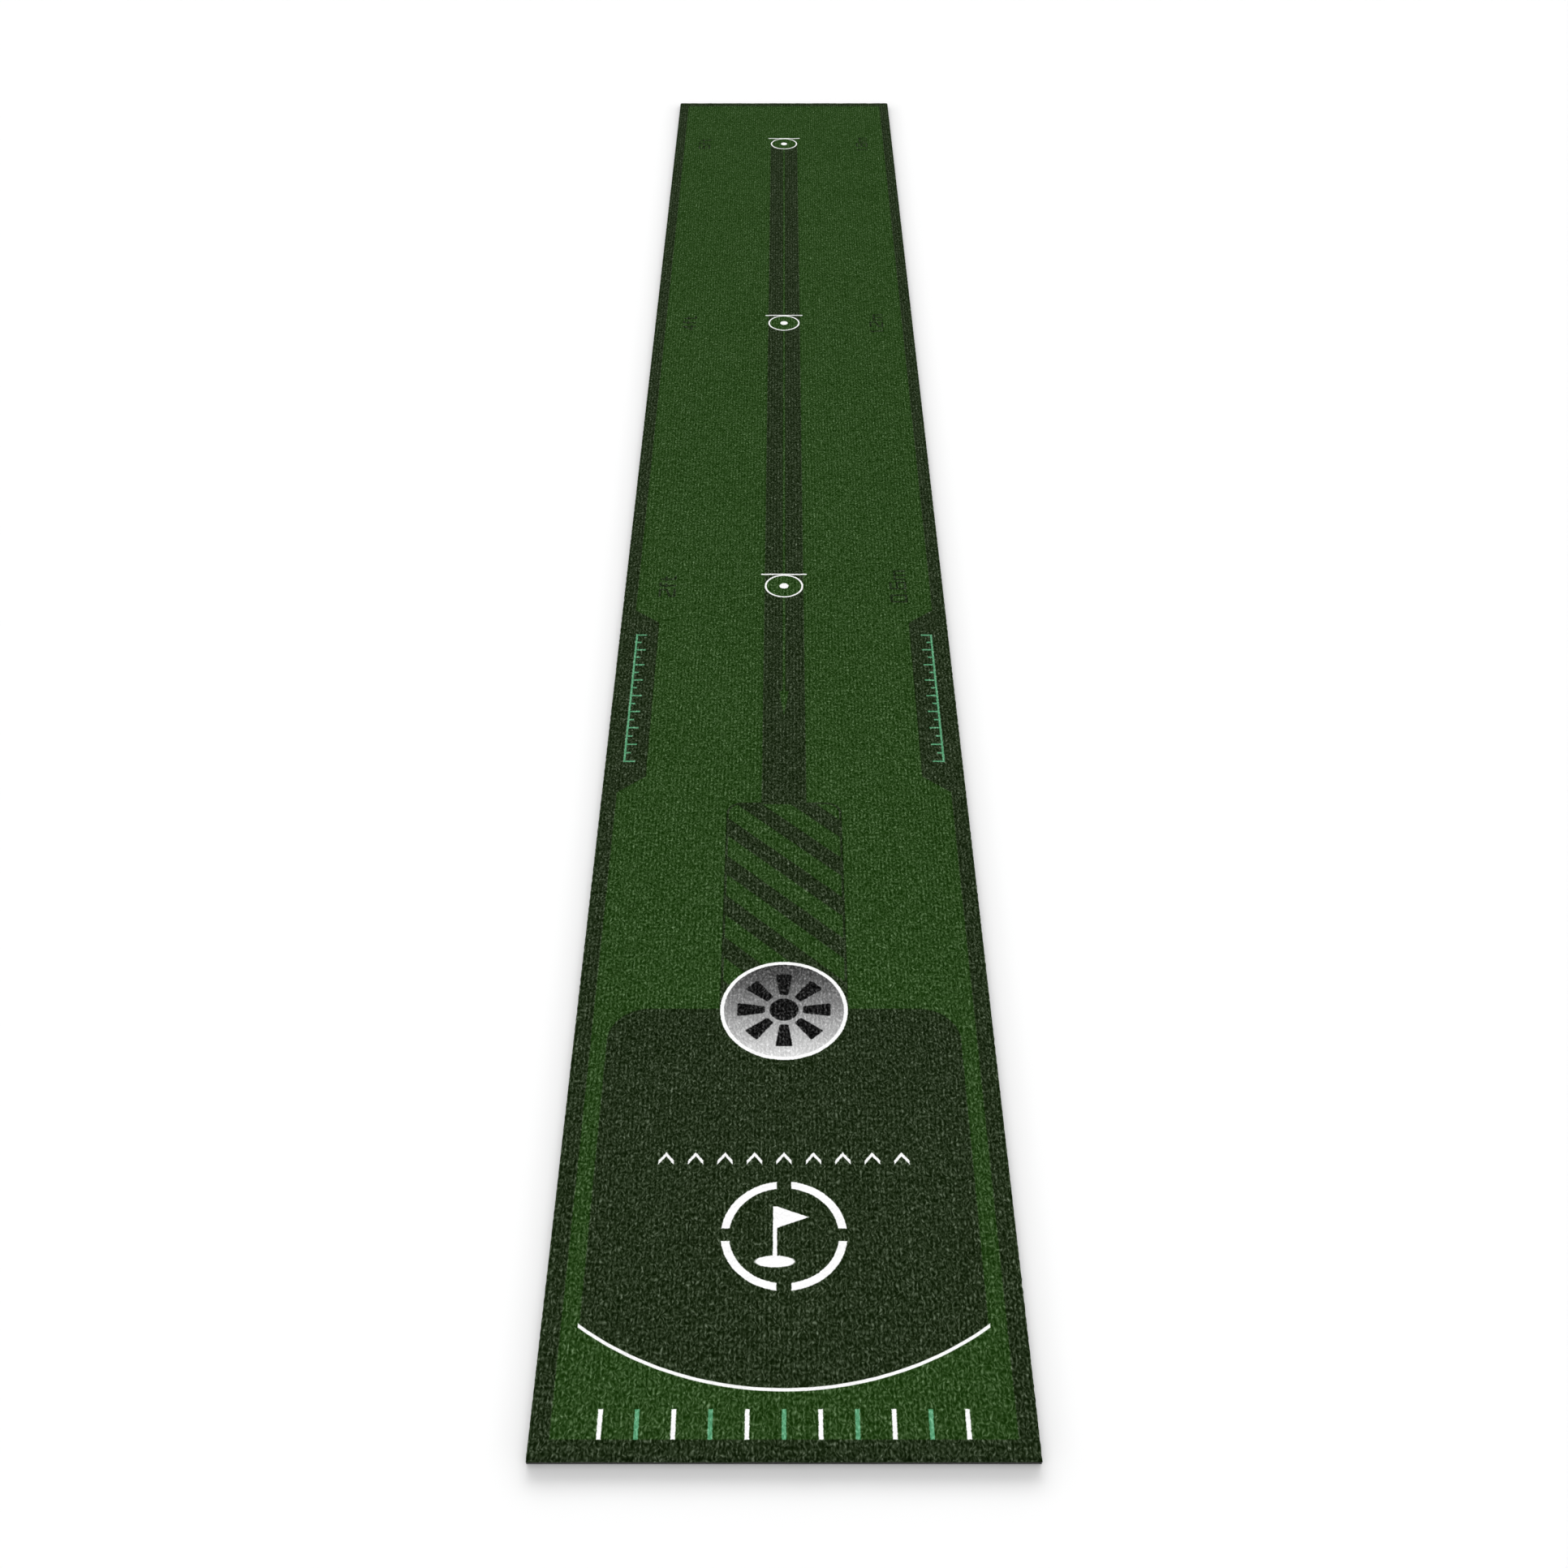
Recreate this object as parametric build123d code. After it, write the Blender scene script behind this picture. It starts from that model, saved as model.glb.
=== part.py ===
from build123d import *
import math
import os

os.makedirs("parts", exist_ok=True)

# Practice putting mat lying flat, turf side up.
# Frame: +X across the mat, +Y from the cup end (near) to the far end, +Z up.
# Origin: middle of the footprint, on the underside of the rubber base.
# Millimetres. A station (names ending in _s) is a distance from the near edge.

# ---------------------------------------------------------------- overall size
length = 2400.0            # along Y
width = 350.0              # along X
rubber_t = 2.0             # non-slip rubber base
scrim_t = 0.6              # woven backing that carries the pile
pile_t = 2.4               # dyed short pile
scrim_top = rubber_t + scrim_t
pile_top = scrim_top + pile_t
overshoot = 5.0            # how far cutting shapes run past what they cut

# ----------------------------------------------------- front panel and border
front_len = 660.0          # flat length that carries the cup end graphics
border_side = 14.3         # border width along the long sides
border_end = 15.0          # border depth at the near end

# ------------------------------------------------------ dark zone before the cup
zone_half = 147.4          # half width
zone_top_s = 399.0
zone_corner = 34.0
arc_r = 246.0              # curved line that closes the zone at the near end
arc_s = 51.7               # lowest point of that line
arc_w = 2.6
arc_half = 148.6           # half width the line spans
arc_centre_s = arc_s + arc_r
arc_end_s = arc_centre_s - math.sqrt(arc_r ** 2 - arc_half ** 2)
arc_clear = 2.0            # keeps the slanted ends of the line whole

# ------------------------------------------------------------------ gate ticks
tick_count = 11
tick_pitch = 25.4
tick_w = 3.3
tick_near_s = border_end
tick_far_s = 37.3

# -------------------------- roundel: ring quarters round a pin and pennant
roundel_s = 177.3
roundel_r = 47.7
roundel_w = 6.4
roundel_gap = 11.0         # gap between neighbouring quarters
# The rest is measured from the roundel's centre.
pin_x = -6.8
pin_w = 3.2
pin_foot = -22.0
pin_head = 25.0
pennant_low = 6.0
pennant_tip_x = 19.0
hole_y = -23.0             # ellipse at the foot of the pin
hole_rx = 15.0
hole_ry = 5.0

# ---------------------------------------------------------------- chevron row
chevron_s = 246.5
chevron_count = 9
chevron_pitch = 23.0
chevron_w = 12.0
chevron_h = 11.6
chevron_arm = 3.78         # thickness of an arm, measured along Y

# ------------------------------------------------------------- printed cup face
cup_s = 398.0
cup_r = 54.0
cup_rim = 3.3
hub_r = 12.2
slot_count = 8
slot_inner_r = 16.2
slot_outer_r = 39.4
slot_inner_w = 7.4
slot_outer_w = 14.2
slot_corner = 1.5

# ----------------------------------------------------------------- hatched lane
hatch_half = 54.5
hatch_top_s = 655.7
hatch_line = 2.3           # width of the outline
hatch_corner = 14.7
stripe_count = 7
stripe_pitch = 50.7
stripe_w = 24.0            # measured along Y
stripe_first_s = 355.4     # near edge of the first stripe on the centre line
stripe_reach = 70.0        # half width of a 45 degree stripe before trimming

# -------------------------------------------------------------- putting targets
foot = 304.8
target_feet = (2, 4, 6)    # distances past the cup's centre
target_r = 21.25           # golf ball radius
target_w = 2.0
target_dot_r = 5.0
target_bar_half = 25.4
target_bar_w = 2.1
target_bar_far = 23.05     # far edge of the bar, from the target's centre

# ------------------------------------------------------- rolling sheet (strips)
# Stations of the lines across the sheet past the front panel, where it bends
# as it rolls up. The last few strips, innermost in the roll, are narrower.
# Each target stays on one strip.
roll_lines = (
    front_len, 700.7, 741.3, 782.0, 822.6, 863.3, 904.0, 944.6,
    985.3, 1032.3, 1075.6, 1118.9, 1162.1, 1205.4, 1248.7,
    1292.0, 1335.2, 1378.5, 1421.8, 1465.1, 1508.3, 1551.6,
    1594.9, 1641.9, 1685.3, 1728.7, 1772.1, 1815.4, 1858.8,
    1902.2, 1945.6, 1989.0, 2032.4, 2075.8, 2119.1, 2162.4,
    2204.5, 2251.5, 2283.3, 2314.1, 2343.8, 2372.4, length,
)


# --------------------------------------------------------------------- helpers
def to_y(station):
    return station - length / 2


def rect(x0, x1, near, far):
    """Rectangle between two x values and two stations."""
    return Pos((x0 + x1) / 2, to_y((near + far) / 2)) * Rectangle(x1 - x0, far - near)


def disc(x, station, radius):
    return Pos(x, to_y(station)) * Circle(radius)


def ring(station, radius, band):
    """Ring on the centre line, band wide inside its outer radius."""
    return disc(0, station, radius) - disc(0, station, radius - band)


def polygon(points):
    """Face through (x, station) points."""
    return make_face(Polyline(*[(x, to_y(station)) for x, station in points], close=True))


def rounded_top(half, near, far, radius):
    """Rectangle with its two far corners rounded."""
    cross = rect(-half, half, near, far - radius) + rect(-half + radius, half - radius, near, far)
    return (cross + disc(-half + radius, far - radius, radius)
            + disc(half - radius, far - radius, radius))


def union(shapes):
    total = shapes[0]
    for shape in shapes[1:]:
        total = total + shape
    return total


def row_x(count, pitch):
    """X positions of a row centred on the mat."""
    return [(i - (count - 1) / 2) * pitch for i in range(count)]


def layer(sketch, z0, z1):
    """Solids of a flat sketch between two heights."""
    solids = []
    for face in sketch.faces():
        solids += extrude(Pos(0, 0, z0) * face, amount=z1 - z0).solids()
    return solids


def save(name, solids):
    shape = solids[0] if len(solids) == 1 else Compound(children=solids)
    shape.label = name
    export_step(shape, f"parts/{name}.step")


def save_pile(name, sketch):
    save(name, layer(sketch, scrim_top, pile_top))


# --------------------------------------------------------- front panel sketches
def make_border():
    """Both long sides and the near end."""
    inner_half = width / 2 - border_side
    return panel - rect(-inner_half, inner_half, border_end, front_len + overshoot)


def make_arc_line():
    full_ring = ring(arc_centre_s, arc_r + arc_w / 2, arc_w)
    return full_ring & rect(-arc_half, arc_half, arc_s - overshoot, arc_end_s + arc_clear)


def make_zone():
    """Rounded at the far corners, closed by the arc at the near end."""
    outline = rounded_top(zone_half, arc_s - overshoot, zone_top_s, zone_corner)
    beyond_arc = rect(-width / 2, width / 2, arc_end_s, zone_top_s + overshoot)
    return outline & (disc(0, arc_centre_s, arc_r) + beyond_arc)


def make_ticks():
    return [rect(x - tick_w / 2, x + tick_w / 2, tick_near_s, tick_far_s)
            for x in row_x(tick_count, tick_pitch)]


def make_roundel():
    reach = roundel_r + overshoot
    half_gap = roundel_gap / 2
    quarters = ring(roundel_s, roundel_r, roundel_w)
    quarters -= rect(-reach, reach, roundel_s - half_gap, roundel_s + half_gap)
    quarters -= rect(-half_gap, half_gap, roundel_s - reach, roundel_s + reach)

    pin_right = pin_x + pin_w / 2
    pin = rect(pin_x - pin_w / 2, pin_right, roundel_s + pin_foot, roundel_s + pin_head)
    pennant = polygon([
        (pin_right, roundel_s + pin_head),
        (pennant_tip_x, roundel_s + (pin_head + pennant_low) / 2),
        (pin_right, roundel_s + pennant_low),
    ])
    hole = Pos(pin_x, to_y(roundel_s + hole_y)) * Ellipse(hole_rx, hole_ry)
    return quarters + (pin + pennant + hole)


def make_chevron(x):
    """Chevron pointing towards the far end."""
    half = chevron_w / 2
    low = chevron_s - chevron_h / 2
    high = chevron_s + chevron_h / 2
    return polygon([
        (x - half, low), (x, high - chevron_arm), (x + half, low),
        (x + half, low + chevron_arm), (x, high), (x - half, low + chevron_arm),
    ])


def make_slot(angle):
    """Slot that widens outwards, its rounded corners grown from a smaller core."""
    inner = slot_inner_r + slot_corner
    outer = slot_outer_r - slot_corner
    inner_half = slot_inner_w / 2 - slot_corner
    outer_half = slot_outer_w / 2 - slot_corner
    cos, sin = math.cos(angle), math.sin(angle)
    core = [(radius * cos - side * sin, cup_s + radius * sin + side * cos)
            for radius, side in ((inner, -inner_half), (outer, -outer_half),
                                 (outer, outer_half), (inner, inner_half))]
    return offset(polygon(core), amount=slot_corner, kind=Kind.ARC)


def make_slots():
    """Slots round the hub disc."""
    slots = [make_slot(2 * math.pi * i / slot_count) for i in range(slot_count)]
    return union([disc(0, cup_s, hub_r)] + slots)


def make_stripe(station):
    return polygon([
        (-stripe_reach, station + stripe_reach),
        (stripe_reach, station - stripe_reach),
        (stripe_reach, station - stripe_reach + stripe_w),
        (-stripe_reach, station + stripe_reach + stripe_w),
    ])


def make_hatching():
    """Outline and stripes of the lane, clear of the cup and the dark zone."""
    lane = rounded_top(hatch_half, cup_s, hatch_top_s, hatch_corner)
    inside = rounded_top(hatch_half - hatch_line, cup_s, hatch_top_s - hatch_line,
                         hatch_corner - hatch_line)
    stripes = union([make_stripe(stripe_first_s + i * stripe_pitch)
                     for i in range(stripe_count)])
    return lane - inside - cup - zone, (stripes & inside) - cup - zone


# ----------------------------------------------------------- front panel pieces
panel = rect(-width / 2, width / 2, 0, front_len)
border = make_border()
arc_line = make_arc_line()
zone = make_zone()
ticks = make_ticks()
ticks_white = union(ticks[::2])
ticks_teal = union(ticks[1::2])
roundel = make_roundel()
chevrons = union([make_chevron(x) for x in row_x(chevron_count, chevron_pitch)])
cup = disc(0, cup_s, cup_r)
slots = make_slots()
hatch_outline, hatch_stripes = make_hatching()
green = (panel - border - zone - arc_line - ticks_white - ticks_teal
         - cup - hatch_outline - hatch_stripes)

save("rubber_base", layer(panel, 0, rubber_t))
save("backing_scrim", layer(panel, rubber_t, scrim_top))
save_pile("green_field_pile", green)
save_pile("border_pile", border)
save_pile("dark_zone_pile", zone - arc_line - cup - roundel - chevrons)
save_pile("arc_line", arc_line)
save_pile("gate_ticks_white", ticks_white)
save_pile("gate_ticks_teal", ticks_teal)
save_pile("pin_roundel", roundel)
save_pile("chevron_row", chevrons)
save_pile("cup_rim_ring", ring(cup_s, cup_r, cup_rim))
save_pile("cup_face", disc(0, cup_s, cup_r - cup_rim) - slots)
save_pile("cup_slots", slots)
save_pile("hatch_stripes", hatch_stripes)
save_pile("hatch_outline", hatch_outline)


# ---------------------------------------------------- rolling strips and targets
def make_target(station):
    """Ring and dot, with a bar across the far side."""
    bar_far_s = station + target_bar_far
    mark = ring(station, target_r, target_w)
    mark += disc(0, station, target_dot_r)
    mark += rect(-target_bar_half, target_bar_half, bar_far_s - target_bar_w, bar_far_s)
    return mark


for number, (near, far) in enumerate(zip(roll_lines[:-1], roll_lines[1:]), start=1):
    sheet = rect(-width / 2, width / 2, near, far)
    pile = sheet
    for feet in target_feet:
        target_s = cup_s + feet * foot
        if near < target_s < far:
            target = make_target(target_s)
            pile = pile - target
            save_pile(f"target_{feet}ft", target)
    # Rubber and scrim are one solid here, under the pile.
    save(f"mat_strip_{number:02d}",
         layer(sheet, 0, scrim_top) + layer(pile, scrim_top, pile_top))
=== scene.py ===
import bpy
import math
import numpy as np
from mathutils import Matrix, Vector


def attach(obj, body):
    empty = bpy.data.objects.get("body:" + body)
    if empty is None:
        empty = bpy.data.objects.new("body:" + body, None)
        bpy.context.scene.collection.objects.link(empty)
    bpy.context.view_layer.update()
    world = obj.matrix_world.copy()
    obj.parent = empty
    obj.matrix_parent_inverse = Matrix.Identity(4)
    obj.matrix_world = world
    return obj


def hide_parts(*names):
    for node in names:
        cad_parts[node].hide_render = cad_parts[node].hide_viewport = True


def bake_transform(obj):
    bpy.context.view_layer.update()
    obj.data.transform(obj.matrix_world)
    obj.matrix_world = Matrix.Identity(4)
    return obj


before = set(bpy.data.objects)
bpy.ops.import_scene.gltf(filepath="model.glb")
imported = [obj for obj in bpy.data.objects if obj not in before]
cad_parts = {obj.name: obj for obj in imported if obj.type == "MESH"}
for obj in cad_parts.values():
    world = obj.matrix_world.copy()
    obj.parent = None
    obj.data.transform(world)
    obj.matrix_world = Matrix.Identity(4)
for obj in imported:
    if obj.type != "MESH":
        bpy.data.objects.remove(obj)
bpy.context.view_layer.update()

# ------------------------------------------------------------------ dimensions
# All in millimetres. s runs along the mat from the near (cup) end.
W = 350.0
L = 2400.0
T = 5.0
Z_RUB = 2.0
Z_SCR = 2.6
HINGES = [660.0, 700.7, 741.3, 782.0, 822.6, 863.3, 904.0, 944.6, 985.3,
          1032.3, 1075.6, 1118.9, 1162.1, 1205.4, 1248.7, 1292.0, 1335.2,
          1378.5, 1421.8, 1465.1, 1508.3, 1551.6, 1594.9, 1641.9, 1685.3,
          1728.7, 1772.1, 1815.4, 1858.8, 1902.2, 1945.6, 1989.0, 2032.4,
          2075.8, 2119.1, 2162.4, 2204.5, 2251.5, 2283.3, 2314.1, 2343.8,
          2372.4, 2400.0]
N = len(HINGES) - 1

BORDER_X = 160.7
BORDER_S0 = 15.0
BORDER_S1 = 2385.0
TARGETS = [(1007.6, "2", "0.6"), (1617.2, "4", "1.2"), (2226.8, "6", "1.8")]


# ================================================================ node helpers
class Net:
    """Small helper that writes shader maths as nodes."""

    def __init__(self, tree):
        self.t = tree
        self.n = tree.nodes
        self.l = tree.links
        self.count = 0

    def node(self, kind, **props):
        nd = self.n.new(kind)
        nd.location = ((self.count % 24) * 180, -(self.count // 24) * 220)
        self.count += 1
        for k, v in props.items():
            setattr(nd, k, v)
        return nd

    def put(self, sock, v):
        if isinstance(v, bpy.types.NodeSocket):
            self.l.new(v, sock)
        else:
            sock.default_value = v

    def m(self, op, a, b=None, c=None, clamp=False):
        nd = self.node("ShaderNodeMath", operation=op, use_clamp=clamp)
        self.put(nd.inputs[0], a)
        if b is not None:
            self.put(nd.inputs[1], b)
        if c is not None:
            self.put(nd.inputs[2], c)
        return nd.outputs[0]

    def add(self, a, b): return self.m("ADD", a, b)
    def sub(self, a, b): return self.m("SUBTRACT", a, b)
    def mul(self, a, b): return self.m("MULTIPLY", a, b)
    def div(self, a, b): return self.m("DIVIDE", a, b)
    def mx(self, a, b): return self.m("MAXIMUM", a, b)
    def mn(self, a, b): return self.m("MINIMUM", a, b)
    def ab(self, a): return self.m("ABSOLUTE", a)

    def hyp(self, a, b):
        return self.m("SQRT", self.m("MULTIPLY_ADD", a, a, self.mul(b, b)))

    def step(self, d, soft):
        """1 inside (d < 0), 0 outside, over +-soft."""
        nd = self.node("ShaderNodeMapRange", interpolation_type="SMOOTHSTEP")
        self.put(nd.inputs["Value"], d)
        nd.inputs["From Min"].default_value = soft
        nd.inputs["From Max"].default_value = -soft
        return nd.outputs["Result"]

    def ramp(self, v, a, b, lo=0.0, hi=1.0, smooth=False):
        nd = self.node("ShaderNodeMapRange",
                       interpolation_type="SMOOTHSTEP" if smooth else "LINEAR")
        self.put(nd.inputs["Value"], v)
        nd.inputs["From Min"].default_value = a
        nd.inputs["From Max"].default_value = b
        nd.inputs["To Min"].default_value = lo
        nd.inputs["To Max"].default_value = hi
        return nd.outputs["Result"]

    def box(self, x, s, cx, cs, hx, hs):
        """Signed distance (sharp corners) to a box."""
        dx = self.sub(self.ab(self.sub(x, cx)), hx)
        ds = self.sub(self.ab(self.sub(s, cs)), hs)
        return self.mx(dx, ds)

    def mix(self, fac, a, b, kind="MIX"):
        nd = self.node("ShaderNodeMix", data_type="RGBA", blend_type=kind)
        nd.clamp_factor = True
        self.put(nd.inputs[0], fac)
        self.put(nd.inputs[6], a)
        self.put(nd.inputs[7], b)
        return nd.outputs[2]

    def mixf(self, fac, a, b):
        nd = self.node("ShaderNodeMix", data_type="FLOAT")
        self.put(nd.inputs[0], fac)
        self.put(nd.inputs[2], a)
        self.put(nd.inputs[3], b)
        return nd.outputs[0]

    def xyz(self, x, y, z=0.0):
        nd = self.node("ShaderNodeCombineXYZ")
        for i, v in enumerate((x, y, z)):
            self.put(nd.inputs[i], v)
        return nd.outputs[0]

    def noise(self, vec, scale, detail=2.0, rough=0.5, distortion=0.0):
        nd = self.node("ShaderNodeTexNoise", noise_dimensions="3D")
        self.put(nd.inputs["Vector"], vec)
        nd.inputs["Scale"].default_value = scale
        nd.inputs["Detail"].default_value = detail
        nd.inputs["Roughness"].default_value = rough
        nd.inputs["Distortion"].default_value = distortion
        return nd


def stroke_group():
    """Node group: distance from P to the segment A-B, all 2-D."""
    g = bpy.data.node_groups.new("stroke", "ShaderNodeTree")
    for nm in ("P", "A", "B"):
        g.interface.new_socket(nm, in_out="INPUT", socket_type="NodeSocketVector")
    g.interface.new_socket("D", in_out="OUTPUT", socket_type="NodeSocketFloat")
    n, l = g.nodes, g.links
    gi, go = n.new("NodeGroupInput"), n.new("NodeGroupOutput")

    def vm(op):
        nd = n.new("ShaderNodeVectorMath")
        nd.operation = op
        return nd
    pa, ba = vm("SUBTRACT"), vm("SUBTRACT")
    l.new(gi.outputs["P"], pa.inputs[0]); l.new(gi.outputs["A"], pa.inputs[1])
    l.new(gi.outputs["B"], ba.inputs[0]); l.new(gi.outputs["A"], ba.inputs[1])
    d1, d2 = vm("DOT_PRODUCT"), vm("DOT_PRODUCT")
    l.new(pa.outputs[0], d1.inputs[0]); l.new(ba.outputs[0], d1.inputs[1])
    l.new(ba.outputs[0], d2.inputs[0]); l.new(ba.outputs[0], d2.inputs[1])
    dv = n.new("ShaderNodeMath"); dv.operation = "DIVIDE"; dv.use_clamp = True
    l.new(d1.outputs["Value"], dv.inputs[0]); l.new(d2.outputs["Value"], dv.inputs[1])
    sc = vm("SCALE")
    l.new(ba.outputs[0], sc.inputs[0]); l.new(dv.outputs[0], sc.inputs["Scale"])
    ds = vm("DISTANCE")
    l.new(pa.outputs[0], ds.inputs[0]); l.new(sc.outputs[0], ds.inputs[1])
    l.new(ds.outputs["Value"], go.inputs["D"])
    return g


STROKE = stroke_group()

# stroke figures on a cell 12 wide and 16 high; (u, v) with v up
GLYPHS = {
    "0": (13.0, [(0, 0, 12, 0), (12, 0, 12, 16), (12, 16, 0, 16), (0, 16, 0, 0)]),
    "1": (4.0, [(2, 0, 2, 16), (2, 16, -1, 13)]),
    "2": (13.0, [(0, 16, 12, 16), (12, 16, 12, 9), (12, 9, 0, 5), (0, 5, 0, 0), (0, 0, 12, 0)]),
    "4": (13.0, [(9, 0, 9, 16), (9, 16, 0, 5), (0, 5, 12, 5)]),
    "6": (13.0, [(11, 16, 0, 16), (0, 16, 0, 0), (0, 0, 12, 0), (12, 0, 12, 9), (12, 9, 0, 9)]),
    "8": (13.0, [(0, 0, 12, 0), (12, 0, 12, 16), (12, 16, 0, 16), (0, 16, 0, 0), (0, 8.5, 12, 8.5)]),
    ".": (2.0, [(1, 0, 1, 0.6)]),
    "f": (8.0, [(2, 0, 2, 16), (2, 16, 7, 16), (0, 10, 6, 10)]),
    "t": (8.0, [(2, 15, 2, 0), (2, 0, 7, 0), (0, 10, 6, 10)]),
    "m": (17.0, [(0, 0, 0, 11), (0, 11, 16, 11), (16, 11, 16, 0), (8, 11, 8, 0)]),
}


def figure_strokes(text, x_base, s_centre, gap=4.5):
    """Segments of a caption that reads along +s, with its letters' tops towards -x."""
    total = sum(GLYPHS[c][0] for c in text) + gap * (len(text) - 1)
    pos = s_centre - total / 2
    out = []
    for c in text:
        w, segs = GLYPHS[c]
        for u0, v0, u1, v1 in segs:
            out.append(((x_base - v0, pos + u0), (x_base - v1, pos + u1)))
        pos += w + gap
    return out


# ============================================================== mat material
def shade(r, g, b):
    return (r / 255.0, g / 255.0, b / 255.0, 1.0)


# dyes as seen in the light of the scene; turned into reflectance at the end of the shader
COL = {
    "green": shade(46, 72, 33),
    "dark": shade(40, 52, 32),
    "label": shade(36, 48, 29),
    "teal": shade(97, 163, 122),
    "white": shade(255, 255, 255),
    "black": shade(29, 29, 29),
    "rubber": (0.0110, 0.0112, 0.0115, 1),
    "scrim": (0.060, 0.062, 0.055, 1),
}
FLOOR_ALBEDO = 0.86
FLECK = 1.70
GRAIN_GAIN = 7.5
PILE_GAIN = 1.0
WORLD_GAIN = 1.01


def mat_material(name, s0, s1):
    """Material of the mat between s0 and s1: only the marks found there are drawn."""
    mat = bpy.data.materials.new(name)
    mat.use_nodes = True
    tree = mat.node_tree
    tree.nodes.clear()
    g = Net(tree)

    def here(a, b, pad=3.0):
        return a - pad < s1 and b + pad > s0

    at = g.node("ShaderNodeAttribute", attribute_name="REST")
    rest = at.outputs["Vector"]
    sep = g.node("ShaderNodeSeparateXYZ")
    g.put(sep.inputs[0], rest)
    x0, y0, z0 = sep.outputs

    # ---- fleck texture: short loose fibre ends in lengthwise rows
    warp = g.noise(rest, 0.16, 1.0, 0.5)
    wsep = g.node("ShaderNodeSeparateColor")
    g.put(wsep.inputs[0], warp.outputs["Color"])
    wx = g.mul(g.sub(wsep.outputs[0], 0.5), 5.0)
    wy = g.mul(g.sub(wsep.outputs[1], 0.5), 5.0)
    fx = g.add(x0, wx)
    fy = g.add(y0, wy)
    grain = g.noise(g.xyz(fx, g.mul(fy, 0.56), g.mul(z0, 0.9)), 0.70, 0.5, 0.5, 0.15)
    fine = g.noise(g.xyz(x0, g.mul(y0, 0.6), z0), 1.75, 2.0, 0.6)
    row = g.m("COSINE", g.mul(g.add(x0, g.mul(wx, 0.35)), 2 * math.pi / 3.5))
    zz = g.m("MULTIPLY_ADD", g.sub(grain.outputs["Fac"], 0.5), GRAIN_GAIN, g.mul(row, 0.42))
    zz = g.m("MULTIPLY_ADD", g.sub(fine.outputs["Fac"], 0.5), 2.2, zz)
    tuft = g.noise(g.xyz(x0, g.mul(y0, 0.50), z0), 0.36, 1.0, 0.5)
    zz = g.m("MULTIPLY_ADD", g.sub(tuft.outputs["Fac"], 0.5), 3.0, zz)
    fleck = g.m("MULTIPLY_ADD", g.m("MULTIPLY_ADD", zz, 1.9 / 255, 11.5 / 255), zz, -2.5 / 255)
    fleck = g.mul(fleck, FLECK)
    # broad noise that drives the painted nap sheen further down
    broad = g.noise(rest, 0.012, 2.0, 0.5).outputs["Fac"]

    # ---- loose printed edges: coordinates jittered by the fibres
    jit = g.noise(rest, 0.55, 1.5, 0.6)
    jsep = g.node("ShaderNodeSeparateColor")
    g.put(jsep.inputs[0], jit.outputs["Color"])
    jx = g.sub(jsep.outputs[0], 0.5)
    jy = g.sub(jsep.outputs[1], 0.5)
    x = g.m("MULTIPLY_ADD", jx, 1.1, x0)
    s = g.m("MULTIPLY_ADD", jy, 1.1, y0)
    xs = g.m("MULTIPLY_ADD", jx, 2.2, x0)
    ss = g.m("MULTIPLY_ADD", jy, 2.2, y0)

    # ---- dark areas: border, zone, band, hatch, badges
    d = g.sub(BORDER_X, g.ab(xs))
    if here(0, BORDER_S0):
        d = g.mn(d, g.sub(ss, BORDER_S0))
    if here(BORDER_S1, L):
        d = g.mn(d, g.sub(BORDER_S1, ss))
    if here(671, 963):
        # badges: the border steps in to a wider dark panel on each side
        q = g.sub(g.ab(g.sub(ss, 816.5)), 123.5)
        q = g.mul(g.sub(q, g.mul(g.sub(g.ab(xs), 134.2), 0.86)), 0.76)
        d = g.mn(d, g.mx(g.sub(134.2, g.ab(xs)), q))
    soft = 0.7
    dark = g.step(d, soft)
    if here(50, 400):
        ax = g.ab(xs)
        qx = g.sub(ax, 147.4 - 34.0)
        qy = g.sub(ss, 399.0 - 34.0)
        dz = g.sub(g.add(g.hyp(g.mx(qx, 0.0), g.mx(qy, 0.0)), g.mn(g.mx(qx, qy), 0.0)), 34.0)
        dc = g.sub(g.hyp(x, g.sub(s, 297.7)), 246.0)
        dark = g.mx(dark, g.step(g.mx(dz, dc), soft))
    if here(398, 656):
        ax = g.ab(x)
        qx = g.sub(ax, 53.8 - 14.0)
        qy = g.sub(s, 655.0 - 14.0)
        dl = g.sub(g.add(g.hyp(g.mx(qx, 0.0), g.mx(qy, 0.0)), g.mn(g.mx(qx, qy), 0.0)), 14.0)
        above = g.sub(398.0, s)
        t = g.sub(g.add(ss, g.mul(xs, 0.985)), 456.8)
        t = g.sub(t, g.mul(g.m("ROUND", g.div(g.sub(t, 12.0), 50.7)), 50.7))
        stripe = g.sub(g.ab(g.sub(t, 12.0)), 12.0)
        stripe = g.mx(g.mul(stripe, 0.71), g.mx(g.add(dl, 0.6), above))
        dark = g.mx(dark, g.step(stripe, soft))
        line = g.mx(g.sub(g.ab(g.add(dl, 0.45)), 1.15), above)
        dark = g.mx(dark, g.step(line, 0.5))
    if here(655, 2227):
        band = g.mx(g.sub(g.ab(xs), 21.4), g.mx(g.sub(655.0, ss), g.sub(ss, 2226.0)))
        dark = g.mx(dark, g.step(band, soft))
        if here(785, 2227):
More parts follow.
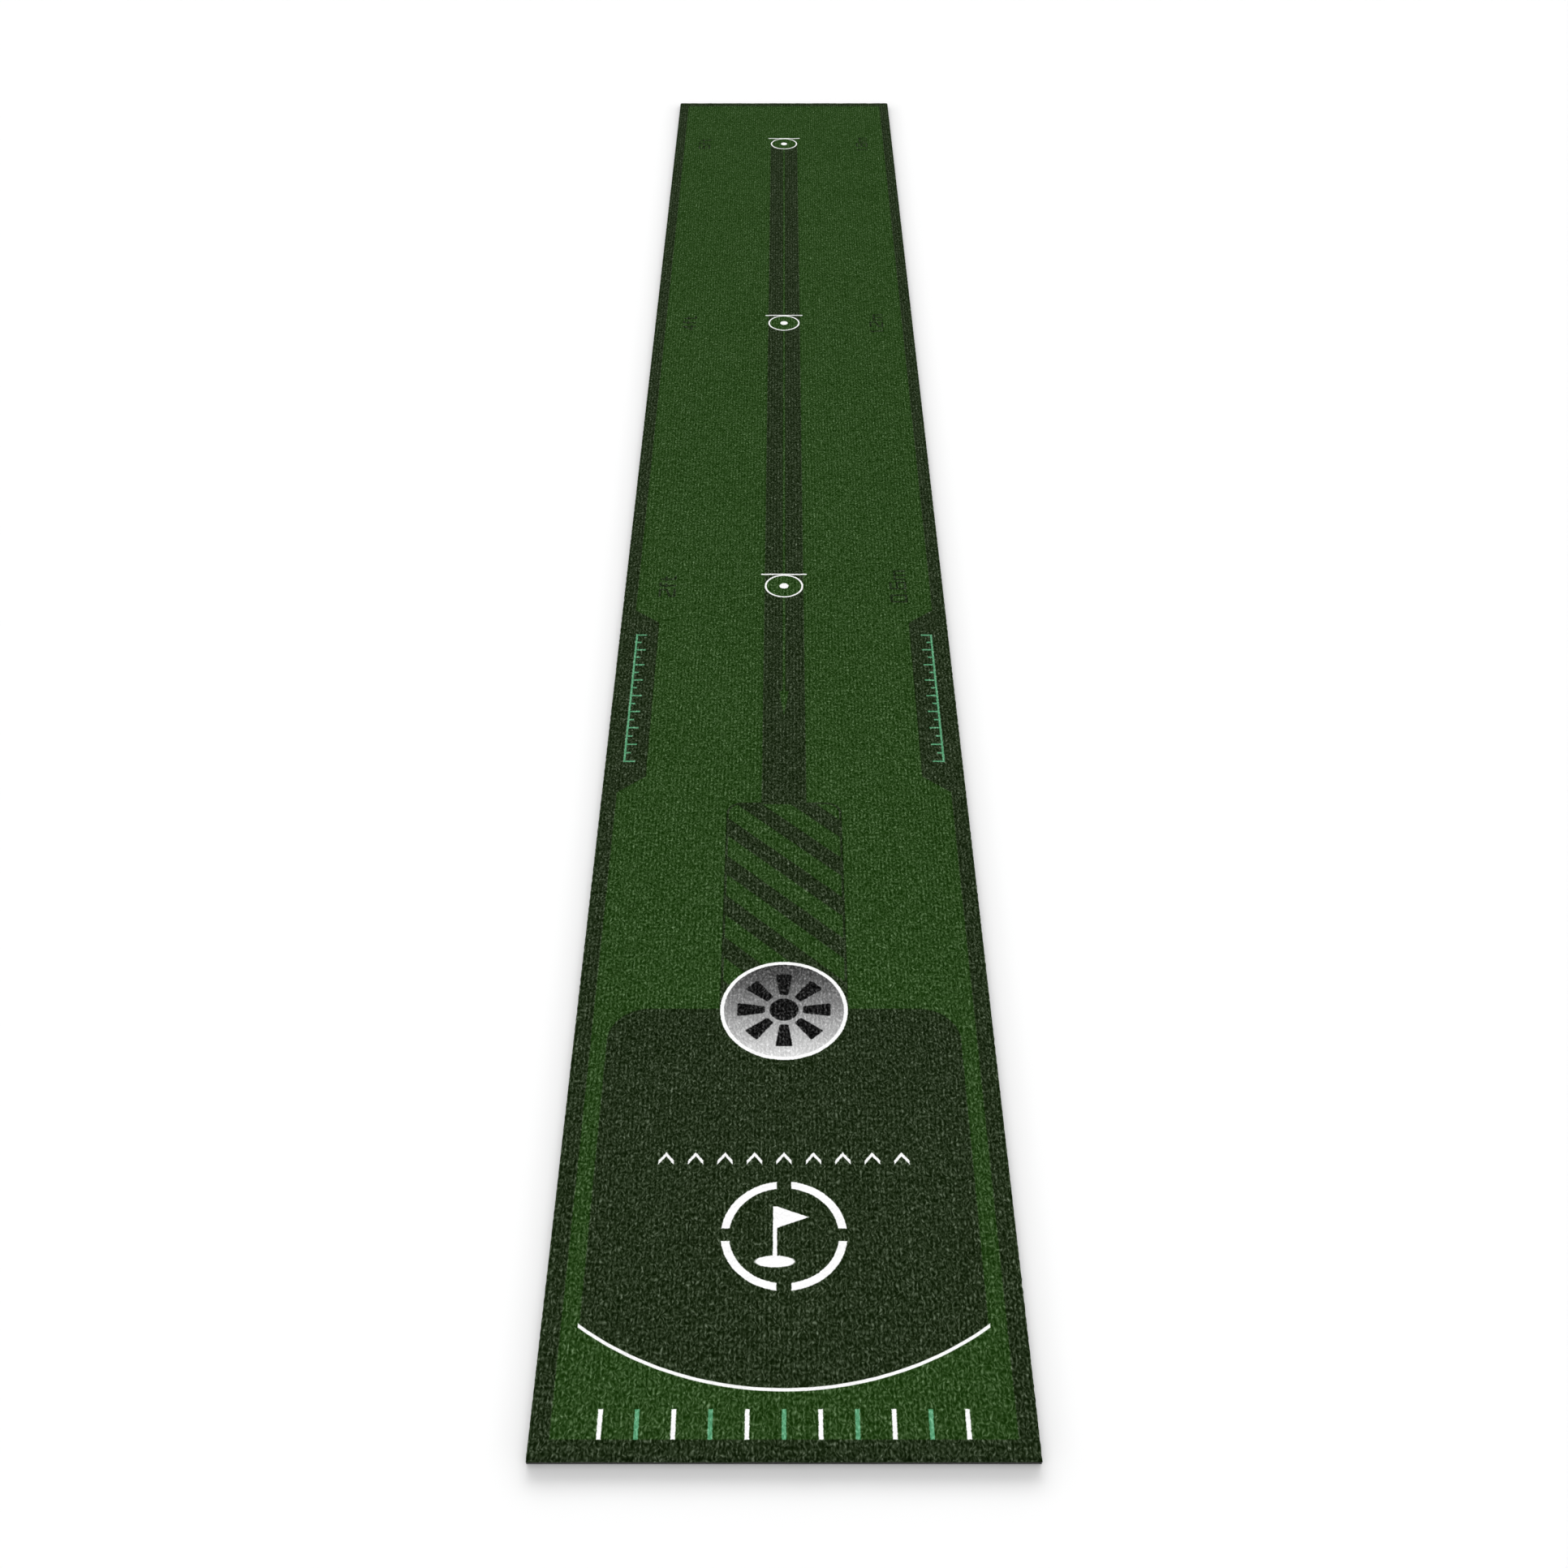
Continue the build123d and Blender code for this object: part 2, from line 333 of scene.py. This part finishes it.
            # thin aiming line and its arrow head, left green
            mid = g.mx(g.sub(g.ab(x), 1.3), g.sub(820.0, s))
            if here(785, 824):
                head = g.sub(g.ab(x), g.mul(g.sub(s, 785.0), 0.125))
                mid = g.mn(mid, g.mx(head, g.mx(g.sub(785.0, s), g.sub(s, 824.0))))
            dark = g.mul(dark, g.sub(1.0, g.step(g.mx(mid, g.sub(g.ab(x), 20.0)), 0.45)))
    for ts, _, _ in TARGETS:
        if here(ts - 22, ts + 22):
            rr = g.hyp(x, g.sub(s, ts))
            dark = g.mul(dark, g.sub(1.0, g.step(g.sub(rr, 20.5), 0.6)))

    colour = g.mix(dark, COL["green"], COL["dark"])

    # ---- distance figures, in the dark dye
    fig = None
    for ts, ft, metre in TARGETS:
        if here(ts - 45, ts + 45):
            for text, xb in ((ft + "ft", -120.4), (metre + "m", 133.8)):
                for a, b in figure_strokes(text, xb, ts):
                    nd = g.node("ShaderNodeGroup")
                    nd.node_tree = STROKE
                    g.put(nd.inputs["P"], g_vec(g, x, s))
                    nd.inputs["A"].default_value = (a[0], a[1], 0)
                    nd.inputs["B"].default_value = (b[0], b[1], 0)
                    o = nd.outputs["D"]
                    fig = o if fig is None else g.mn(fig, o)
    if fig is not None:
        colour = g.mix(g.step(g.sub(fig, 1.35), 0.7), colour, COL["label"])

    # ---- teal marks
    teal = None

    def join(cur, v):
        return v if cur is None else g.mx(cur, v)
    white = None
    if here(14, 38):
        k = g.m("ROUND", g.div(x, 25.4))
        tx = g.sub(g.ab(g.sub(x, g.mul(k, 25.4))), 1.62)
        tick = g.mx(tx, g.mx(g.sub(g.ab(g.sub(s, 26.15)), 11.15), g.sub(g.ab(x), 131.0)))
        tick = g.step(tick, 0.4)
        odd = g.m("ABSOLUTE", g.m("MODULO", k, 2.0))
        teal = join(teal, g.mul(tick, g.sub(1.0, odd)))
        white = join(white, g.mul(tick, odd))
    if here(716, 918):
        # plain graduated scale on each badge
        ax = g.ab(x)
        k = g.m("ROUND", g.div(g.sub(s, 816.8), 12.7))
        ts_ = g.sub(g.ab(g.sub(g.sub(s, 816.8), g.mul(k, 12.7))), 1.05)
        even = g.sub(1.0, g.m("ABSOLUTE", g.m("MODULO", k, 2.0)))
        inner = g.m("MULTIPLY_ADD", even, -5.4, 151.2)
        tk = g.mx(ts_, g.mx(g.sub(inner, ax), g.sub(ax, 157.6)))
        sp = g.sub(g.ab(g.sub(ax, 156.6)), 1.05)
        sc = g.mx(g.mn(tk, sp), g.sub(g.ab(g.sub(s, 816.8)), 102.6))
        teal = join(teal, g.step(sc, 0.45))
    if teal is not None:
        colour = g.mix(teal, colour, COL["teal"])

    # ---- white marks
    if here(48, 105):
        dc = g.sub(g.hyp(x0, g.sub(y0, 297.7)), 246.0)
        arc = g.mx(g.sub(g.ab(dc), 1.27), g.mx(g.sub(g.ab(x), 148.6), g.sub(s, 150.0)))
        white = join(white, g.step(arc, 0.4))
    if here(128, 226):
        cs = 177.3
        rr = g.hyp(x, g.sub(s, cs))
        ring = g.sub(g.ab(g.sub(rr, 44.5)), 3.2)
        gapd = g.sub(5.5, g.mn(g.ab(x), g.ab(g.sub(s, cs))))
        ring = g.mx(ring, gapd)
        pin = g.box(x, s, -6.8, cs + 1.5, 1.6, 23.5)
        pen = g.mx(g.sub(-5.9, x), g.add(g.sub(g.ab(g.sub(s, cs + 15.5)), 9.5),
                                         g.mul(g.add(x, 5.2), 9.5 / 24.2)))
        hole = g.mul(g.sub(g.hyp(g.div(g.add(x, 6.8), 15.0), g.div(g.sub(s, cs - 23.0), 5.0)), 1.0), 5.0)
        white = join(white, g.step(g.mn(g.mn(ring, pin), g.mn(pen, hole)), 0.4))
    if here(238, 255):
        k = g.m("ROUND", g.div(x, 23.0))
        xm = g.ab(g.sub(x, g.mul(k, 23.0)))
        e = g.sub(g.ab(g.m("MULTIPLY_ADD", xm, 1.303, g.sub(s, 250.41))), 1.89)
        e = g.mx(g.mul(e, 0.61), g.mx(g.sub(xm, 6.0), g.sub(g.ab(x), 101.0)))
        white = join(white, g.step(e, 0.4))
    for ts, _, _ in TARGETS:
        if here(ts - 22, ts + 24):
            rr = g.hyp(x, g.sub(s, ts))
            tw = g.mn(g.sub(g.ab(g.sub(rr, 20.2)), 1.0), g.sub(rr, 5.0))
            tw = g.mn(tw, g.box(x, s, 0.0, ts + 22.0, 25.4, 1.05))
            white = join(white, g.step(tw, 0.4))
    if here(344, 452):
        cy = g.sub(s, 398.0)
        rr = g.hyp(x, cy)
        face = g.step(g.sub(rr, 51.5), 0.5)
        # the printed face darkens evenly towards the far side
        gv = g.m("MULTIPLY_ADD", cy, -1.567 / 255, 146.0 / 255)
        colour = g.mix(face, colour, g.xyz(gv, gv, gv))
        an = g.m("ARCTAN2", cy, x)
        an = g.sub(an, g.mul(g.m("ROUND", g.div(an, math.pi / 4)), math.pi / 4))
        u = g.mul(rr, g.m("COSINE", an))
        v = g.ab(g.mul(rr, g.m("SINE", an)))
        sv = g.sub(v, g.m("MULTIPLY_ADD", g.sub(u, 16.2), 3.4 / 23.2, 2.2))
        su = g.sub(g.ab(g.sub(u, 27.8)), 10.1)
        sl = g.sub(g.hyp(g.mx(sv, 0.0), g.mx(su, 0.0)), 1.5)
        blk = g.step(g.mn(sl, g.sub(rr, 12.2)), 0.6)
        colour = g.mix(blk, colour, COL["black"])
        white = join(white, g.step(g.sub(g.ab(g.sub(rr, 52.35)), 1.65), 0.4))
    if white is not None:
        colour = g.mix(white, colour, COL["white"])
    else:
        white = 0.0

    # ---- loose fibre ends on top of the dye, weaker on the pale prints
    bw = g.node("ShaderNodeRGBToBW")
    g.put(bw.inputs[0], colour)
    keep = g.m("MULTIPLY_ADD", bw.outputs[0], -0.55, 1.0)
    if white != 0.0:
        keep = g.mul(keep, g.sub(1.0, g.mul(white, 0.9)))
    off = g.mul(fleck, keep)
    # painted sheen: broad lighter and darker patches on the pile stand in for the nap's directional sheen
    painted_nap_sheen = g.ramp(broad, 0.3, 0.7, -1.2 / 255, 1.2 / 255)
    off = g.add(off, painted_nap_sheen)
    seen = g.mix(1.0, colour, g.xyz(off, off, off), "ADD")
    # seen shade -> linear reflectance
    up = g.mix(1.0, seen, (0.055, 0.055, 0.055, 1), "ADD")
    up = g.mix(1.0, up, (1 / 1.055, 1 / 1.055, 1 / 1.055, 1), "MULTIPLY")
    gm = g.node("ShaderNodeGamma")
    g.put(gm.inputs["Color"], up)
    gm.inputs["Gamma"].default_value = 2.4
    k_ = FLOOR_ALBEDO * PILE_GAIN
    pile_col = g.mix(1.0, gm.outputs[0], (k_, k_, k_, 1), "MULTIPLY")

    # ---- side and underside: scrim and rubber under the pile
    zj = g.m("MULTIPLY_ADD", jx, 0.35, z0)
    m_scr = g.step(g.sub(z0, Z_SCR - 0.02), 0.05)
    m_rub = g.step(g.sub(z0, Z_RUB + 0.02), 0.05)
    side_fib = g.noise(g.xyz(g.mul(x0, 1.6), g.mul(y0, 1.6), g.mul(z0, 0.25)), 1.4, 2.0, 0.6)
    scr_c = g.mix(g.ramp(side_fib.outputs["Fac"], 0.35, 0.65), (0.030, 0.031, 0.028, 1), COL["scrim"])
    # underside: square waffle with raised ribs and painted shade in its cells
    wx_ = g.ab(g.sub(g.m("FRACT", g.mul(g.add(x0, 400.0), 1 / 5.0)), 0.5))
    wy_ = g.ab(g.sub(g.m("FRACT", g.mul(y0, 1 / 5.0)), 0.5))
    rib_height_and_cell_shade = g.ramp(g.mx(wx_, wy_), 0.28, 0.40, 0.0, 1.0, True)
    dust = g.noise(rest, 0.035, 3.0, 0.6).outputs["Fac"]
    rub_n = g.noise(rest, 1.1, 3.0, 0.6).outputs["Fac"]
    under = g.step(g.sub(z0, 0.6), 0.1)
    # painted shade: the waffle cells are coloured darker than the ribs, standing in for the shade in the
    # recesses
    rub_c = g.mix(g.mul(rib_height_and_cell_shade, g.mul(under, 0.75)), COL["rubber"], (0.0235, 0.0238, 0.0242, 1))
    rub_c = g.mix(g.mul(g.ramp(dust, 0.42, 0.72), 0.45), rub_c, (0.034, 0.033, 0.031, 1))
    base = g.mix(m_scr, pile_col, scr_c)
    base = g.mix(m_rub, base, rub_c)

    # ---- bump: fibres on the pile, waffle on the rubber
    pile_h = g.add(g.mul(grain.outputs["Fac"], 0.75), g.mul(fine.outputs["Fac"], 0.30))
    rub_h = g.add(g.mul(g.mul(rib_height_and_cell_shade, under), 0.8), g.mul(rub_n, 0.10))
    h = g.mixf(m_scr, pile_h, g.mul(side_fib.outputs["Fac"], 0.8))
    h = g.mixf(m_rub, h, rub_h)
    bump = g.node("ShaderNodeBump")
    bump.inputs["Strength"].default_value = 0.5
    bump.inputs["Distance"].default_value = 0.0009
    g.put(bump.inputs["Height"], h)

    bsdf = g.node("ShaderNodeBsdfPrincipled")
    g.put(bsdf.inputs["Base Color"], base)
    rough = g.mixf(m_rub, g.ramp(fine.outputs["Fac"], 0.3, 0.7, 0.96, 0.82),
                   g.ramp(rub_n, 0.3, 0.7, 0.52, 0.72))
    g.put(bsdf.inputs["Roughness"], rough)
    g.put(bsdf.inputs["Specular IOR Level"], g.mixf(m_rub, 0.0, 0.35))
    g.put(bsdf.inputs["Normal"], bump.outputs["Normal"])
    out = g.node("ShaderNodeOutputMaterial")
    tree.links.new(bsdf.outputs[0], out.inputs["Surface"])
    return mat


def g_vec(g, x, s):
    if not hasattr(g, "vec_cache"):
        g.vec_cache = g.xyz(x, s, 0.0)
    return g.vec_cache


# ================================================================= mat geometry
rng = np.random.RandomState(7)
K = 46
_wl = rng.uniform(6.0, 26.0, K)
_an = rng.uniform(0, 2 * math.pi, K)
_ph = rng.uniform(0, 2 * math.pi, K)
_kx = 2 * math.pi / _wl * np.cos(_an)
_ky = 2 * math.pi / _wl * np.sin(_an)
_am = 0.012 * np.sqrt(_wl / 10.0)
# tufts: short waves just above the mesh spacing
_tw = rng.uniform(5.2, 7.5, 26)
_ta = rng.uniform(0, 2 * math.pi, 26)
_tp = rng.uniform(0, 2 * math.pi, 26)
_tx = 2 * math.pi / _tw * np.cos(_ta)
_ty = 2 * math.pi / _tw * np.sin(_ta)
_ek = 2 * math.pi / rng.uniform(2.5, 14.0, 20)
_ep = rng.uniform(0, 2 * math.pi, (4, 20))


def relief(x, s):
    """Height of the pile tips about their mean, mm."""
    x = np.asarray(x, float)[..., None]
    s = np.asarray(s, float)[..., None]
    return (np.sin(_kx * x + _ky * s + _ph) * _am).sum(-1) + np.sin(_tx * x + _ty * s + _tp).sum(-1) * 0.016


def edge_noise(t, which):
    t = np.asarray(t, float)[..., None]
    return (np.sin(_ek * t + _ep[which])).sum(-1) * 0.040


STEP = 2.5


def columns():
    half = W / 2
    edge = [0.0, 0.25, 0.7, 1.4, 2.4, 3.8]
    n = max(2, int(round((W - 2 * 3.8) / STEP)))
    mid = np.linspace(-half + 3.8, half - 3.8, n + 1)
    return np.array([-half + e for e in edge[:-1]] + list(mid) + [half - e for e in reversed(edge[:-1])])


COLS = columns()
WAFFLE = 5.0                    # pitch of the underside's waffle
DIMPLE = 0.42                   # depth of its cells
BOT = np.array([W / 2 - 0.15] + [v * STEP for v in range(int(172.5 / STEP), -int(172.5 / STEP) - 1, -1)]
               + [-W / 2 + 0.15])
# side profile from the pile edge down to the underside: (outset, z)
SIDE = [(0.16, 3.25), (0.05, 2.70), (-0.22, 2.58), (-0.22, 2.06), (0.0, 2.0), (0.02, 1.0), (0.0, 0.15)]


def drop(d):
    """How far the pile tips round off, d mm in from a cut edge."""
    r = 2.4
    d = np.clip(d, 0.0, r)
    return r * 0.48 * (1 - np.sqrt(np.clip(1 - (1 - d / r) ** 2, 0, 1)))


def waffle(x, s):
    """Height of the underside over its ribs, mm."""
    tx = 1 - np.abs(2 * np.mod(np.asarray(x, float) / WAFFLE, 1.0) - 1)
    ts = 1 - abs(2 * ((s / WAFFLE) % 1.0) - 1)
    rim = (np.abs(x) < W / 2 - 3.5) * (4.0 < s < L - 4.0)
    return DIMPLE * tx * ts * rim


def loop_at(s):
    """Closed section of the mat at s: list of (x, z), anticlockwise seen from the near end."""
    dx = np.minimum(COLS + W / 2, W / 2 - COLS)
    ds = min(s, L - s)
    z = T - 0.22 + relief(COLS, np.full_like(COLS, s))
    z = z - drop(dx) - drop(np.array(ds))
    xs = COLS.copy()
    xs[0] -= 0.1 + edge_noise(s, 0)
    xs[-1] += 0.1 + edge_noise(s, 1)
    pts = [(a, b) for a, b in zip(xs, z)]
    side_r = [(W / 2 + o + (edge_noise(s + 3 * zz, 1) if zz > 2.6 else 0.0), zz) for o, zz in SIDE]
    side_l = [(-W / 2 - o - (edge_noise(s + 3 * zz, 0) if zz > 2.6 else 0.0), zz) for o, zz in reversed(SIDE)]
    bot = list(zip(BOT, waffle(BOT, s)))
    return pts + side_r + bot + side_l


def rows(s0, s1):
    # every piece uses the same lengthwise lattice, so the waffle keeps its step across pieces
    k = range(int(math.floor(s0 / STEP)) + 1, int(math.ceil(s1 / STEP)))
    r = [s0] + [v * STEP for v in k if s0 + 0.6 < v * STEP < s1 - 0.6] + [s1]
    if s0 <= 0.0:
        r = [0.0, 0.25, 0.7, 1.4, 2.4, 3.8] + [v for v in r if v > 4.5]
    if s1 >= L:
        r = [v for v in r if v < L - 4.5] + [L - 3.8, L - 2.4, L - 1.4, L - 0.7, L - 0.25, L]
    return r


def sheet_piece(name, s0, s1):
    rr = rows(s0, s1)
    loops = [loop_at(v) for v in rr]
    m = len(loops[0])
    nt = len(COLS)
    ns = len(SIDE)
    nb = len(BOT)
    co = np.zeros((len(rr) * m, 3))
    rest = np.zeros((len(rr) * m, 3))
    for i, (s, lp) in enumerate(zip(rr, loops)):
        a = np.array(lp)
        co[i * m:(i + 1) * m, 0] = a[:, 0]
        co[i * m:(i + 1) * m, 1] = s - L / 2
        co[i * m:(i + 1) * m, 2] = a[:, 1]
        rest[i * m:(i + 1) * m, 0] = a[:, 0]
        rest[i * m:(i + 1) * m, 1] = s
        rest[i * m:(i + 1) * m, 2] = a[:, 1]
    if s0 <= 0.0:
        # near cut end: pile fibres a little uneven
        top = co[:m, 2] > 2.62
        co[:m, 1][top] -= 0.1 + edge_noise(co[:m, 0][top], 2)
    if s1 >= L:
        top = co[-m:, 2] > 2.62
        co[-m:, 1][top] += 0.1 + edge_noise(co[-m:, 0][top], 3)
    faces = []
    uv = []
    span = max(s1 - s0, 1e-6)
    # running length round the section, for the side islands
    sec = np.array(loops[0])
    run = np.concatenate([[0], np.cumsum(np.hypot(*(np.roll(sec, -1, 0) - sec).T))])

    def uv_top(xv, sv):
        return (0.006 + 0.988 * (xv + W / 2 + 0.6) / (W + 1.2), 0.006 + 0.52 * (sv - s0) / span)

    def uv_bot(xv, sv):
        return (0.006 + 0.988 * (xv + W / 2 + 0.6) / (W + 1.2), 0.54 + 0.33 * (sv - s0) / span)

    r_lo, r_hi = run[nt - 1], run[nt + ns]
    l_lo, l_hi = run[nt + ns + nb - 1], run[m]

    def uv_side(k, sv, right):
        lo, hi = (r_lo, r_hi) if right else (l_lo, l_hi)
        base = 0.885 if right else 0.925
        return (0.006 + 0.988 * (sv - s0) / span, base + 0.030 * (run[k] - lo) / (hi - lo))

    for i in range(len(rr) - 1):
        sa, sb = rr[i], rr[i + 1]
        for j in range(m):
            k = (j + 1) % m
            faces.append((i * m + j, i * m + k, (i + 1) * m + k, (i + 1) * m + j))
            xa, xb = rest[i * m + j, 0], rest[i * m + k, 0]
            if j < nt - 1:
                uv += [uv_top(xa, sa), uv_top(xb, sa), uv_top(xb, sb), uv_top(xa, sb)]
            elif nt + ns <= j < nt + ns + nb - 1:
                uv += [uv_bot(xa, sa), uv_bot(xb, sa), uv_bot(xb, sb), uv_bot(xa, sb)]
            elif j < nt + ns:
                uv += [uv_side(j, sa, True), uv_side(j + 1, sa, True),
                       uv_side(j + 1, sb, True), uv_side(j, sb, True)]
            else:
                uv += [uv_side(j, sa, False), uv_side(j + 1, sa, False),
                       uv_side(j + 1, sb, False), uv_side(j, sb, False)]
    last = (len(rr) - 1) * m
    caps = [tuple(range(m - 1, -1, -1)), tuple(last + j for j in range(m))]
    for c, basev in zip(caps, (0.963, 0.981)):
        faces.append(c)
        for v in c:
            xv, zv = rest[v, 0], rest[v, 2]
            uv.append((0.006 + 0.988 * (xv + W / 2 + 0.6) / (W + 1.2), basev + 0.0145 * zv / 5.4))
    me = bpy.data.meshes.new(name)
    me.from_pydata((co / 1000.0).tolist(), [], faces)
    me.update()
    lay = me.uv_layers.new(name="OFBake")
    lay.data.foreach_set("uv", np.array(uv, np.float32).ravel())
    at = me.attributes.new("REST", "FLOAT_VECTOR", "POINT")
    at.data.foreach_set("vector", rest.astype(np.float32).ravel())
    me.polygons.foreach_set("use_smooth", [True] * len(me.polygons))
    # sharp edges round both caps and along the hard rubber corners
    sharp = np.zeros(len(me.edges), bool)
    ev = np.zeros(len(me.edges) * 2, np.int32)
    me.edges.foreach_get("vertices", ev)
    ev = ev.reshape(-1, 2)
    same_row = (ev[:, 0] // m) == (ev[:, 1] // m)
    rowi = ev[:, 0] // m
    sharp |= same_row & ((rowi == 0) | (rowi == len(rr) - 1))
    hard = {nt + 3, nt + 4, nt + ns, nt + ns + nb - 1, nt + ns + nb + 2, nt + ns + nb + 3}
    hard |= {nt + 2, nt + ns + nb + 4}
    jj = ev[:, 0] % m
    sharp |= (~same_row) & np.isin(jj, list(hard))
    sa_ = me.attributes.get("sharp_edge") or me.attributes.new("sharp_edge", "BOOLEAN", "EDGE")
    sa_.data.foreach_set("value", sharp)
    me.update()
    ob = bpy.data.objects.new(name, me)
    bpy.context.scene.collection.objects.link(ob)
    return ob


# -------------------------------------------------------------- build the mat
mids = [(HINGES[k] + HINGES[k + 1]) / 2 for k in range(N)]
s_root = HINGES[0] - (HINGES[1] - HINGES[0]) / 2
cuts = [0.0, 112.0, 232.0, 340.0, 456.0, 546.0, s_root]
for i in range(len(cuts) - 1):
    ob = sheet_piece(f"front_mat_{i + 1:02d}", cuts[i], cuts[i + 1])
    ob.data.materials.append(mat_material(f"pile_front_{i + 1:02d}", cuts[i], cuts[i + 1]))
    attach(ob, "front_panel")
ROOT_NODES = [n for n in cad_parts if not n.startswith("mat_strip_") and not n.startswith("target_")]
for n in ROOT_NODES:
    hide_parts(n)

shared = {}
for k in range(N):
    a = s_root if k == 0 else mids[k - 1]
    b = mids[k] if k < N - 1 else L
    ob = sheet_piece(f"rolling_mat_{k + 1:02d}", a, b)
    marks = tuple(sorted(
        [("t", i) for i, (ts, _, _) in enumerate(TARGETS) if ts - 48 < b and ts + 48 > a]
        + ([("hatch", 0)] if a < 660 else [])
        + ([("badge", 0)] if a < 967 and b > 667 else [])
        + ([("arrow", 0)] if a < 830 and b > 780 else [])
        + ([("end", 0)] if b > 2380 else [])
        + ([("band", 0)] if a < 2230 else [("field", 0)])))
    key = marks if marks in ((("band", 0),), (("field", 0),)) else (k,)
    if key not in shared:
        if key == (("band", 0),):
            shared[key] = mat_material("pile_band", 1100.0, 1110.0)
        elif key == (("field", 0),):
            shared[key] = mat_material("pile_field", 2300.0, 2310.0)
        else:
            shared[key] = mat_material(f"pile_roll_{k + 1:02d}", a, b)
    ob.data.materials.append(shared[key])
    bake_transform(ob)
    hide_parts(f"mat_strip_{k + 1:02d}")
    for (ts, ft, _) in TARGETS:
        if HINGES[k] < ts < HINGES[k + 1]:
            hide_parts(f"target_{ft}ft")

# ============================================================ floor and lights
floor_me = bpy.data.meshes.new("floor")
floor_me.from_pydata([(-14, -14, 0), (14, -14, 0), (14, 14, 0), (-14, 14, 0)], [], [(0, 1, 2, 3)])
floor = bpy.data.objects.new("floor", floor_me)
bpy.context.scene.collection.objects.link(floor)
floor.location.z = -0.0004
fm = bpy.data.materials.new("floor_pale")
fm.use_nodes = True
fb = fm.node_tree.nodes["Principled BSDF"]
fb.inputs["Base Color"].default_value = (FLOOR_ALBEDO, FLOOR_ALBEDO, FLOOR_ALBEDO, 1)
fb.inputs["Roughness"].default_value = 0.9
fb.inputs["Specular IOR Level"].default_value = 0.0
floor_me.materials.append(fm)

scene = bpy.context.scene
world = bpy.data.worlds.new("studio")
world.use_nodes = True
wt = world.node_tree
wt.nodes.clear()
w = Net(wt)
# soft studio dome: even overhead light, a low ring all round and a broad low bank behind the far end
tc = w.node("ShaderNodeTexCoord")
wsep = w.node("ShaderNodeSeparateXYZ")
w.put(wsep.inputs[0], tc.outputs["Generated"])
dx_, dy_, dz_ = wsep.outputs
cosf = w.div(dy_, w.mx(w.hyp(dx_, dy_), 1e-4))


def bell(v, mid_, wide):
    q_ = w.mul(w.sub(v, mid_), 1.0 / wide)
    return w.m("EXPONENT", w.mul(w.mul(q_, q_), -1.0))


ring_ = w.mul(bell(dz_, 0.1834, 0.03), 3.2736)
bank = w.mul(w.mul(bell(dz_, 0.2427, 0.1229), 5.6527),
             w.m("POWER", w.m("MULTIPLY_ADD", cosf, 0.5, 0.5), 12.0))
total = w.add(w.add(ring_, bank), 0.1557)
bg = w.node("ShaderNodeBackground")
bg.inputs[0].default_value = (1.0, 1.0, 1.0, 1)
w.put(bg.inputs[1], w.mul(total, WORLD_GAIN / 0.315941 / FLOOR_ALBEDO))
plain = w.node("ShaderNodeBackground")
plain.inputs[0].default_value = (1.0, 1.0, 1.0, 1)
plain.inputs[1].default_value = 1.0
lp = w.node("ShaderNodeLightPath")
mixs = w.node("ShaderNodeMixShader")
w.put(mixs.inputs[0], lp.outputs["Is Camera Ray"])
wt.links.new(bg.outputs[0], mixs.inputs[1])
wt.links.new(plain.outputs[0], mixs.inputs[2])
wo = w.node("ShaderNodeOutputWorld")
wt.links.new(mixs.outputs[0], wo.inputs["Surface"])
scene.world = world

# ====================================================================== camera
cam_d = bpy.data.cameras.new("photo_view")
cam_d.sensor_width = 36.0
cam_d.lens = 40.13
cam_d.shift_y = -0.0003
cam = bpy.data.objects.new("photo_view", cam_d)
cam.location = (0.0, -1.769, 1.1344 + T / 1000.0)
cam.rotation_euler = (math.radians(90.0 - 42.19), 0.0, 0.0)
scene.collection.objects.link(cam)
scene.camera = cam
scene.view_settings.view_transform = "Standard"
scene.view_settings.look = "None"
